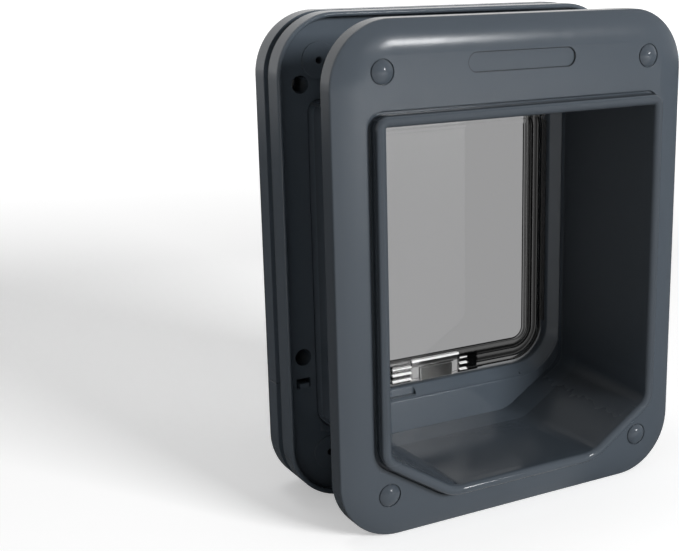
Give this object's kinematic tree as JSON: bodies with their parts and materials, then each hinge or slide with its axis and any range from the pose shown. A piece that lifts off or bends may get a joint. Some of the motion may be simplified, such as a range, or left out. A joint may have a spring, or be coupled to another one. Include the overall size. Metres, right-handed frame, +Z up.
{
  "type": "cat flap",
  "caption": "Self-lining cat flap: outer frame with tunnel, inner frame with a see-through magnetic flap that swings both ways, and lock bolts.",
  "frame": {"origin": "on the floor, under the middle of the bounding box, with the flap unit standing on the bottom edges of its two frames", "axes": "+X to the right for someone facing the outer side, +Y through the wall towards the inner side, +Z up"},
  "size_m": [0.2, 0.104, 0.25],
  "materials": {
    "slate_plastic": "satin moulded slate blue-grey plastic",
    "black_plastic": "satin black plastic",
    "black_pile": "short woven pile",
    "tinted_clear": "smoke-tinted clear polycarbonate",
    "clear_plastic": "clear polycarbonate",
    "magnet": "plain grey magnet",
    "screw_steel": "zinc-plated steel"
  },
  "bodies": {
    "root": {"outer_frame": "slate_plastic", "inner_base": "slate_plastic", "inner_cover": "slate_plastic", "lower_cover": "slate_plastic", "cover_screws": "screw_steel", "draught_strips": "black_pile", "pivot_bushes": "black_plastic", "magnet_holder": "black_plastic", "sill_magnet": "magnet", "bolt_guide": "black_plastic", "guide_screws": "screw_steel"},
    "flap": {"flap_pane": "tinted_clear", "pivot_pins": "screw_steel", "catch_housing": "clear_plastic", "flap_magnet": "magnet", "catch_screws": "screw_steel"},
    "out_lock": {"out_bolt": "slate_plastic", "out_button": "black_plastic"},
    "in_lock": {"in_bolt": "slate_plastic", "in_button": "black_plastic"}
  },
  "joints": [
    {"name": "flap_swing", "type": "hinge", "parent": "root", "child": "flap", "pos_m": [0, 0.04265, 0.196], "axis": [1, 0, 0], "range_deg": [-85, 85]},
    {"name": "out_lock_slide", "type": "slide", "parent": "root", "child": "out_lock", "axis": [0, 0, 1], "range_m": [0, 0.009]},
    {"name": "in_lock_slide", "type": "slide", "parent": "root", "child": "in_lock", "axis": [0, 0, 1], "range_m": [0, 0.009]}
  ]
}
